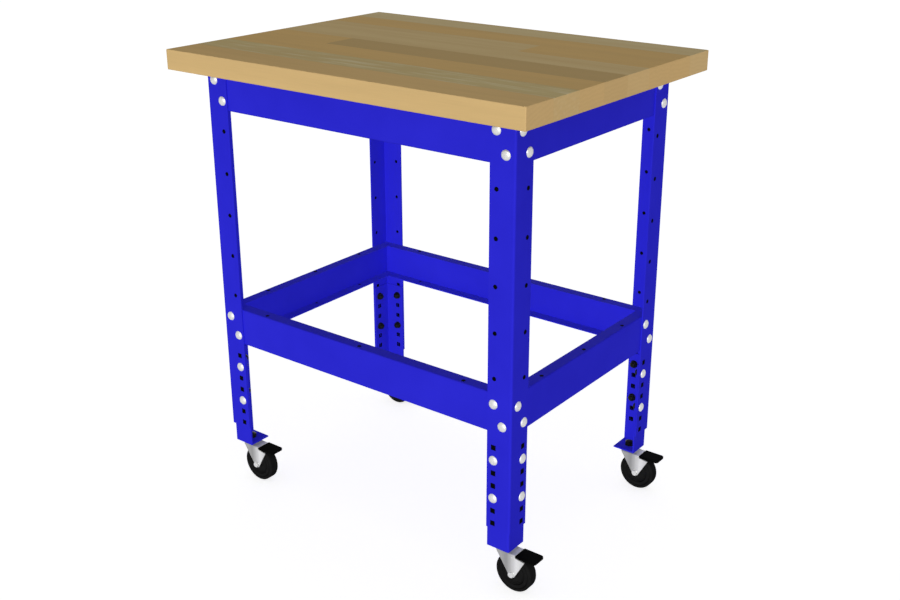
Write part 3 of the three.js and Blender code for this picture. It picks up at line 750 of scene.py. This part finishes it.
# Axles. A zinc-plated steel bolt goes through both side plates and the wheel's hub, with its hex
# head towards the front, and a hex nut on the far side holds it.
axle_radius, axle_gap, axle_tip, axle_taper = 3.95, 0.15, 0.5, 0.6
axle_head_radius, axle_head_height, axle_head_chamfer = 6.3, 4.0, 0.8
head_rim_share, head_dish_share = 0.84, 0.5
washer_face, washer_step = 0.45, 0.05
axle_nut_corner, axle_nut_height, axle_nut_foot, axle_nut_shoulder = 7.0, 4.0, 0.5, 0.7
axle_nut_flare, axle_nut_lead = 0.6, 0.4
axle_seat = yoke_half + axle_gap
head_end, nut_end = -axle_seat - axle_head_height, axle_seat + axle_nut_height
axle = bmesh.new()
skin(axle, [
    ring(axle_head_radius * head_dish_share, head_end), ring(axle_head_radius * head_rim_share, head_end),
    prism(6, axle_head_radius, head_end + axle_head_chamfer),
    prism(6, axle_head_radius, -axle_seat - washer_face - washer_step),
    ring(axle_head_radius, -axle_seat - washer_face), ring(axle_head_radius, -axle_seat),
    ring(axle_radius, -axle_seat), ring(axle_radius, nut_end - axle_tip),
    ring(axle_radius - axle_taper, nut_end),
], along_axle(trail, axle_height))
axle_mesh = shape("axle", axle)
axle_nut = bmesh.new()
skin(axle_nut, [
    ring(axle_radius + axle_gap, axle_seat), ring(axle_nut_corner * nut_foot_share, axle_seat),
    prism(6, axle_nut_corner, axle_seat + axle_nut_foot),
    prism(6, axle_nut_corner, nut_end - axle_nut_shoulder),
    ring(axle_nut_corner * nut_crown_share, nut_end), ring(axle_radius + axle_nut_flare, nut_end),
    ring(axle_radius + axle_gap, nut_end - axle_nut_lead),
], along_axle(trail, axle_height), hollow=True)
axle_nut_mesh = shape("axle_nut", axle_nut)
fit_corners(
    caster_places, "caster",
    ("axle_bolt", axle_mesh, "zinc_plate", zinc_plate, "axle"),
    ("axle_hex_nut", axle_nut_mesh, "zinc_plate", zinc_plate, "axle_nut"),
)

# Wheels. A black rubber tyre with eased shoulders and ring grooves in its sides, moulded on a black
# nylon hub that turns on the axle.
wheel_half, tread_radius, shoulder, shoulder_steps = 10.3, 38.1, 3.0, 4
tyre_gap, tyre_ease = 0.3, 0.6
hub_radius, hub_half, boss_radius, boss_half, hub_bore, hub_ease = 20.0, 8.7, 9.5, 12.4, 4.2, 0.6
rim_width, rim_rise, rim_ease = 2.0, 0.9, 0.5
groove_radii, groove_half, groove_depth = (23.2, 31.4), 1.3, 3.0
wheel_steps = 72


def tyre_rubber():
    """Moulded black rubber: matt, a little dusty, with a fine grain."""
    rubber = Finish("tyre_rubber", Specular_IOR_Level=0.0)
    where = rubber.place()
    rubber.wander("Base Color", where, 70, grey(0.0092), grey(0.0130), 4)
    rubber.wander("Roughness", where, 200, grey(0.68), grey(0.82))
    rubber.bump(rubber.noise(where, 900, 3), 0.2, 0.0001)
    return rubber.material


rubber_black = tyre_rubber()
hub_black = black_nylon("hub_nylon", 0.0088, 0.0122)


def mirrored(half_profile):
    """A wheel's whole section from the half on one side, as (radius, place along the axle)."""
    return half_profile + [(radius, -side) for radius, side in reversed(half_profile)]


def quarter_turn(steps):
    return [pi / 2 * k / steps for k in range(steps + 1)]


tyre_start = hub_radius + tyre_gap
tyre_side = [(tyre_start, wheel_half - tyre_ease), (tyre_start + tyre_ease, wheel_half)]
for groove in groove_radii:
    tyre_side += [(groove - groove_half, wheel_half), (groove, wheel_half - groove_depth)]
    tyre_side.append((groove + groove_half, wheel_half))
for turn in quarter_turn(shoulder_steps):
    radius = tread_radius - shoulder + shoulder * sin(turn)
    tyre_side.append((radius, wheel_half - shoulder + shoulder * cos(turn)))
tyre = bmesh.new()
tyre_rings = [ring(radius, place, wheel_steps) for radius, place in mirrored(tyre_side)]
skin(tyre, tyre_rings, along_axle(trail, axle_height), hollow=True)
tyre_mesh = shape("tyre", tyre)

hub_side = [
    (hub_bore, boss_half), (boss_radius - hub_ease, boss_half), (boss_radius, boss_half - hub_ease),
    (boss_radius, hub_half + hub_ease), (boss_radius + hub_ease, hub_half),
    (hub_radius - rim_width - hub_ease, hub_half), (hub_radius - rim_width, hub_half + rim_rise),
    (hub_radius - rim_ease, hub_half + rim_rise), (hub_radius, hub_half + rim_rise - rim_ease),
]
hub = bmesh.new()
hub_rings = [ring(radius, place, wheel_steps) for radius, place in mirrored(hub_side)]
skin(hub, hub_rings, along_axle(trail, axle_height), hollow=True)
hub_mesh = shape("hub", hub)
fit_corners(
    caster_places, "wheel",
    ("tyre_ring", tyre_mesh, "black_rubber", rubber_black, "tyre"),
    ("hub_core", hub_mesh, "black_plastic", hub_black, "wheel_hub"),
)

# Brake pedals. A black nylon tread plate behind each crown, hollow below, with two ears on the
# yoke's rivets and a shoe that comes down on the tyre when it is stepped on.
pedal_start, pedal_end, pedal_half = 32.6, 75.2, 16.15
pedal_corner, least_corner, corner_steps = 6.0, 0.5, 6
pedal_top, pedal_low, pedal_gauge, pedal_rim = 80.0, 75.6, 2.7, 3.0
pedal_edge, edge_share, pedal_ease = 0.8, 0.29, 0.4
heel_low = 76.9
ear_inner, ear_gauge, ear_radius, ear_reach, ear_hole = 10.9, 1.5, 3.6, 24.0, 3.3
ear_sweep, ear_steps, ear_setback = 7 * pi / 6, 10, 0.3
shoe_start, shoe_length, shoe_half, shoe_gap, shoe_steps = 11.6, 9.0, 7.3, 0.6, 4
pedal_travel = 6.0


def pedal_ring(inset, height):
    """Plan of the pedal at one height: square behind the crown, round at the free end's corners."""
    start, end, half = pedal_start + min(inset, pedal_edge), pedal_end - inset, pedal_half - inset
    corner = max(pedal_corner - inset, least_corner)
    plan = [(start, -half)]
    for centre, first in ((corner - half, -pi / 2), (half - corner, 0)):
        for turn in quarter_turn(corner_steps):
            x = end - corner + corner * cos(first + turn)
            plan.append((x, centre + corner * sin(first + turn)))
    plan.append((start, half))
    return [(x, y, height) for x, y in plan]


pedal = bmesh.new()
pedal_section = [
    (pedal_edge, pedal_top), (pedal_edge * edge_share, pedal_top - pedal_edge * edge_share),
    (0, pedal_top - pedal_edge), (0, pedal_low + pedal_ease), (pedal_ease, pedal_low),
    (pedal_rim - pedal_ease, pedal_low), (pedal_rim, pedal_low + pedal_ease),
    (pedal_rim, pedal_top - pedal_gauge),
]
skin(pedal, [pedal_ring(inset, height) for inset, height in pedal_section])
for vert in pedal.verts:
    if vert.co.x < pedal_start + 2 * pedal_edge:
        vert.co.z = max(vert.co.z, heel_low)
ear_roof = pedal_top - pedal_gauge / 2
ear_turns = [pi / 2 + k * ear_sweep / ear_steps for k in range(ear_steps + 1)]
ear_outline = [(pivot_x + ear_radius * cos(t), pivot_height + ear_radius * sin(t)) for t in ear_turns]
ear_outline += [
    (pivot_x + ear_reach, pedal_low), (pivot_x + ear_reach, ear_roof),
    (pedal_start + ear_setback, ear_roof), (pedal_start + ear_setback, pivot_height + ear_radius),
]
ear_punch = round_punch(pivot_x, pivot_height, ear_hole)


def wheel_top(x):
    return axle_height + (tread_radius ** 2 - (x - trail) ** 2) ** 0.5


def add_to(bm, other):
    """Moves another bmesh's faces into this one."""
    carrier = bpy.data.meshes.new("part")
    other.to_mesh(carrier)
    other.free()
    bm.from_mesh(carrier)
    bpy.data.meshes.remove(carrier)


for inner in (ear_inner, -ear_inner - ear_gauge):
    ear = sheet(ear_outline, [ear_punch], ear_gauge)
    add_to(pedal, remap(ear, lambda x, height, depth, inner=inner: (x, inner + depth, height)))
shoe_outline = [(pivot_x + shoe_start, ear_roof)]
for k in range(shoe_steps + 1):
    x = pivot_x + shoe_start + shoe_length * k / shoe_steps
    shoe_outline.append((x, wheel_top(x) + shoe_gap + sin(radians(pedal_travel)) * (x - pivot_x)))
shoe_outline.append((pivot_x + shoe_start + shoe_length, ear_roof))
shoe = sheet(shoe_outline, [], 2 * shoe_half)
add_to(pedal, remap(shoe, lambda x, height, depth: (x, depth - shoe_half, height)))
pedal_mesh = shape("brake_pedal", pedal)
fit_corners(
    caster_places, "pedal",
    ("pedal_tread", pedal_mesh, "black_plastic", nylon_black, "brake_pedal"),
)

# Worktop. A butcher block of eight long hardwood staves, edge glued, sanded flush and oiled, with
# its edges just eased. The staves run along the length, and their ends show at both sides.
top_low, top_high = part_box("worktop")
top_half_x, top_half_y = top_high.x * 1000, top_high.y * 1000
top_under, top_face = top_low.z * 1000, top_high.z * 1000
eased_edge, eased_corner, ease_steps = 1.2, 2.0, 3


def slab_ring(inset, height):
    """Plan of the block at one height, its upright corners slightly rounded."""
    radius = eased_corner - inset / 2
    plan = []
    for sx, sy, first in ((1, 1, 0), (-1, 1, pi / 2), (-1, -1, pi), (1, -1, 3 * pi / 2)):
        for turn in quarter_turn(ease_steps):
            x = sx * (top_half_x - inset - radius) + radius * cos(first + turn)
            y = sy * (top_half_y - inset - radius) + radius * sin(first + turn)
            plan.append((x, y, height))
    return plan


block = bmesh.new()
turns = quarter_turn(ease_steps)
slab_rings = [slab_ring(eased_edge * (1 - sin(t)), top_under + eased_edge * (1 - cos(t))) for t in turns]
slab_rings += [slab_ring(eased_edge * (1 - cos(t)), top_face - eased_edge * (1 - sin(t))) for t in turns]
skin(block, slab_rings)
block_mesh = shape("butcher_block", block)

# Tints of the staves from front to back, left of the joint in each and right of it
warm, honey, ash = (0.625, 0.420, 0.170), (0.640, 0.440, 0.194), (0.610, 0.465, 0.235)
olive, umber, pale = (0.550, 0.445, 0.220), (0.490, 0.350, 0.158), (0.600, 0.490, 0.270)
left_staves = (honey, olive, warm, warm, ash, ash, warm, pale)
right_staves = (honey, olive, warm, umber, ash, warm, warm, pale)
joint_shares = (0.62, 0.30, 0.45, 0.24, 0.66, 0.66, 0.40, 0.55)
streaked_stave, streak = 1, (0.640, 0.560, 0.340, 1)
soft_grain, fine_grain, glue_line = (0.52, 0.36, 0.160, 1), (0.46, 0.31, 0.130, 1), (0.22, 0.14, 0.055, 1)
end_wood, end_rings = (0.67, 0.45, 0.205, 1), (0.56, 0.375, 0.160, 1)
stave_shift = 0.37


def butcher_block():
    """Oiled hardwood staves: long soft grain along X, faint glue lines, and end grain on the ends."""
    wood = Finish("butcher_block", Specular_IOR_Level=0.0, Coat_Weight=0.01, Coat_Roughness=0.4)
    split = wood.add("SeparateXYZ", {0: wood.place()})
    along, across, up = split.outputs[0], split.outputs[1], split.outputs[2]
    share_y = wood.math("DIVIDE", wood.math("ADD", across, top_half_y / 1000), 2 * top_half_y / 1000)
    share_x = wood.math("DIVIDE", wood.math("ADD", along, top_half_x / 1000), 2 * top_half_x / 1000)
    count = len(left_staves)
    left = wood.ramp(share_y, [(k / count, tint) for k, tint in enumerate(left_staves)], "CONSTANT")
    right = wood.ramp(share_y, [(k / count, tint) for k, tint in enumerate(right_staves)], "CONSTANT")
    joints = [(k / count, grey(share)) for k, share in enumerate(joint_shares)]
    joint = wood.ramp(share_y, joints, "CONSTANT")
    tint = wood.mix(wood.math("GREATER_THAN", share_x, joint), left, right)

    stave = wood.math("FLOOR", wood.math("MULTIPLY", share_y, float(count)))
    shift = wood.math("MULTIPLY", stave, stave_shift)
    grain_at = wood.add("CombineXYZ", {0: wood.math("ADD", along, shift), 1: across, 2: up}).outputs[0]
    soft = wood.noise(wood.stretch(grain_at, (2.2, 34, 34)), 1.0, 4)
    fine = wood.noise(wood.stretch(grain_at, (14, 620, 620)), 1.0, 3)
    tint = wood.mix(wood.ramp(soft, [(0.38, grey(0)), (0.72, grey(0.45))]), tint, soft_grain)
    tint = wood.mix(wood.ramp(fine, [(0.45, grey(0)), (0.8, grey(0.18))]), tint, fine_grain)
    wavy = wood.noise(wood.stretch(grain_at, (9, 110, 110)), 1.0, 4)
    off_stave = wood.math("ABSOLUTE", wood.math("SUBTRACT", stave, float(streaked_stave)))
    streaked = wood.math("LESS_THAN", off_stave, 0.5)
    streaks = wood.ramp(wavy, [(0.50, grey(0)), (0.66, grey(0.75))])
    tint = wood.mix(wood.math("MULTIPLY", streaks, streaked), tint, streak)

    facing = wood.add("SeparateXYZ", {0: wood.add("NewGeometry").outputs["Normal"]}).outputs[0]
    on_end = wood.math("GREATER_THAN", wood.math("ABSOLUTE", facing), 0.7)
    ring_at = wood.add("CombineXYZ", {0: shift, 1: across, 2: wood.math("ADD", up, shift)}).outputs[0]
    rings = wood.add("TexWave", {
        "Vector": ring_at, "Scale": 42.0, "Distortion": 5.0, "Detail": 3.0, "Detail Scale": 1.4,
    }, wave_type="RINGS", rings_direction="X").outputs[1]
    end_tint = wood.mix(wood.ramp(rings, [(0.2, grey(0.10)), (0.9, grey(0.32))]), end_wood, end_rings)
    end_tint = wood.mix(0.25, end_tint, tint)
    tint = wood.mix(on_end, tint, end_tint)

    within = wood.math("FRACT", wood.math("MULTIPLY", share_y, float(count)))
    off_middle = wood.math("ABSOLUTE", wood.math("SUBTRACT", within, 0.5))
    off_centre = wood.math("ABSOLUTE", wood.math("SUBTRACT", share_y, 0.5))
    line = wood.math("MULTIPLY", off_middle, wood.math("LESS_THAN", off_centre, 0.49))
    glue = wood.ramp(line, [(0.494, grey(0)), (0.4995, grey(0.30))])
    glue = wood.math("MULTIPLY", glue, wood.math("SUBTRACT", 1.0, wood.math("MULTIPLY", on_end, 0.75)))
    tint = wood.mix(glue, tint, glue_line)
    wood.drive("Base Color", tint)
    wood.drive("Roughness", wood.ramp(soft, [(0.3, grey(0.50)), (0.7, grey(0.62))]))
    wood.bump(fine, 0.10, 0.00008)
    return wood.material


fit("worktop_block", block_mesh, Matrix.Identity(4), "frame", "butcher_block", butcher_block(),
    "worktop")

# Worktop screws. Zinc-plated pan-head screws, driven up through the top flanges of the upper rails,
# hold the block down. Each has a small recess in its head for the driver.
screw_head, screw_rise, screw_rim, screw_ease, screw_radius, screw_grip = 5.6, 3.2, 0.3, 0.2, 2.4, 0.4
recess_radius, recess_floor, recess_depth, screw_steps = 0.9, 0.5, 1.0, 20
# The pan's rounding, as (share of the head's radius, share of its rise)
screw_pan = ((0.7, 0.875), (0.95, 0.55))
screw_side = [
    (recess_floor, recess_depth - screw_rise), (recess_radius, -screw_rise),
    *((screw_head * across, -screw_rise * up) for across, up in screw_pan),
    (screw_head, -screw_rim), (screw_head - screw_ease, 0), (screw_radius, 0),
    (screw_radius, rail_gauge + screw_grip),
]
screw_rings = [ring(radius, height, screw_steps) for radius, height in screw_side]
screws = bmesh.new()
upper_flange = rail_bottoms["upper"] + rail_height - rail_gauge
screw_line_x, screw_line_y = leg_x - rail_inset - rail_hole_line, leg_y - rail_inset - rail_hole_line
screw_spots = []
for k in (-1, 0, 1):
    screw_spots += [(k * (leg_x - rail_hole_inset), side * screw_line_y) for side in (-1, 1)]
    screw_spots += [(side * screw_line_x, k * (leg_y - rail_hole_inset)) for side in (-1, 1)]
for x, y in screw_spots:
    skin(screws, screw_rings, Matrix.Translation((x, y, upper_flange)))
fit("worktop_screws", shape("worktop_screws", screws), Matrix.Identity(4), "frame", "zinc_plate",
    zinc_plate)

# Floor. A pale seamless studio floor under the whole table, matt and without a joint. It keeps the
# table's soft shadow and reads as white to the camera.
floor_radius, floor_grey, floor_lift = 30.0, 0.80, 0.655
floor_bm = bmesh.new()
bmesh.ops.create_circle(floor_bm, cap_ends=True, segments=96, radius=floor_radius)
floor_mesh = bpy.data.meshes.new("floor")
floor_bm.to_mesh(floor_mesh)
floor_bm.free()
floor = bpy.data.objects.new("floor", floor_mesh)
bpy.context.scene.collection.objects.link(floor)


def seen_directly(tree):
    """1 for rays from the camera, and for those that reach it by a mirror or through glass."""
    path = tree.nodes.new("ShaderNodeLightPath")
    seen = path.outputs["Is Camera Ray"]
    for name in ("Is Glossy Ray", "Is Transmission Ray"):
        either = tree.nodes.new("ShaderNodeMath")
        either.operation = "MAXIMUM"
        tree.links.new(seen, either.inputs[0])
        tree.links.new(path.outputs[name], either.inputs[1])
        seen = either.outputs[0]
    return seen


pale_floor = Finish("pale_floor", Base_Color=(floor_grey, floor_grey, floor_grey, 1), Roughness=0.9,
                    Specular_IOR_Level=0.0, Emission_Color=(1, 1, 1, 1))
lift = pale_floor.math("MULTIPLY", seen_directly(pale_floor.tree), floor_lift)
pale_floor.drive("Emission Strength", lift)
floor_mesh.materials.append(pale_floor.material)

# Light. A white room with a broad key light from the front right, so that the front reads brightest,
# the right end a little darker and the worktop darker still, and a weak fill light from behind.
room_light = 0.30
lamp_width = 40.0
# Each lamp's strength, and its azimuth and elevation in degrees
lamps = {"key": (2.47, 29.0, 9.5), "fill": (1.1, 209.0, 4.0)}
world = bpy.data.worlds.new("white_room")
bpy.context.scene.world = world
world.use_nodes = True
room = world.node_tree.nodes["Background"]
room.inputs["Color"].default_value = (1, 1, 1, 1)
brightness = world.node_tree.nodes.new("ShaderNodeMix")
brightness.inputs[2].default_value = room_light
brightness.inputs[3].default_value = 1.0
world.node_tree.links.new(seen_directly(world.node_tree), brightness.inputs[0])
world.node_tree.links.new(brightness.outputs[0], room.inputs["Strength"])
for name, (strength, azimuth, elevation) in lamps.items():
    light = bpy.data.lights.new(name, "SUN")
    light.energy = strength
    light.angle = radians(lamp_width)
    light.use_shadow = False
    lamp = bpy.data.objects.new(name, light)
    lamp.rotation_euler = (radians(90 - elevation), 0, radians(azimuth))
    bpy.context.scene.collection.objects.link(lamp)

# Camera. Stands where the photograph was taken from, in front of the table and to its right. Its
# place, turn and lens were solved from the corners of the frame and the worktop.
image_width, image_height = 900, 600
camera_place = Vector((1.36848, -1.74058, 1.29913))
camera_azimuth, camera_elevation, camera_roll = radians(37.0209), radians(20.7082), radians(0.0623)
focal_pixels, centre_x, centre_y = 1180.21, 460.81, 275.68
lens = bpy.data.cameras.new("camera")
lens.sensor_width = 36.0
lens.lens = lens.sensor_width * focal_pixels / image_width
lens.shift_x = (image_width / 2 - centre_x) / image_width
lens.shift_y = (centre_y - image_height / 2) / image_width
camera = bpy.data.objects.new("camera", lens)
turn = Matrix.Rotation(camera_azimuth, 4, "Z") @ Matrix.Rotation(pi / 2 - camera_elevation, 4, "X")
camera.matrix_world = Matrix.Translation(camera_place) @ turn @ Matrix.Rotation(camera_roll, 4, "Z")
bpy.context.scene.collection.objects.link(camera)
bpy.context.scene.camera = camera
bpy.context.scene.view_settings.view_transform = "Standard"
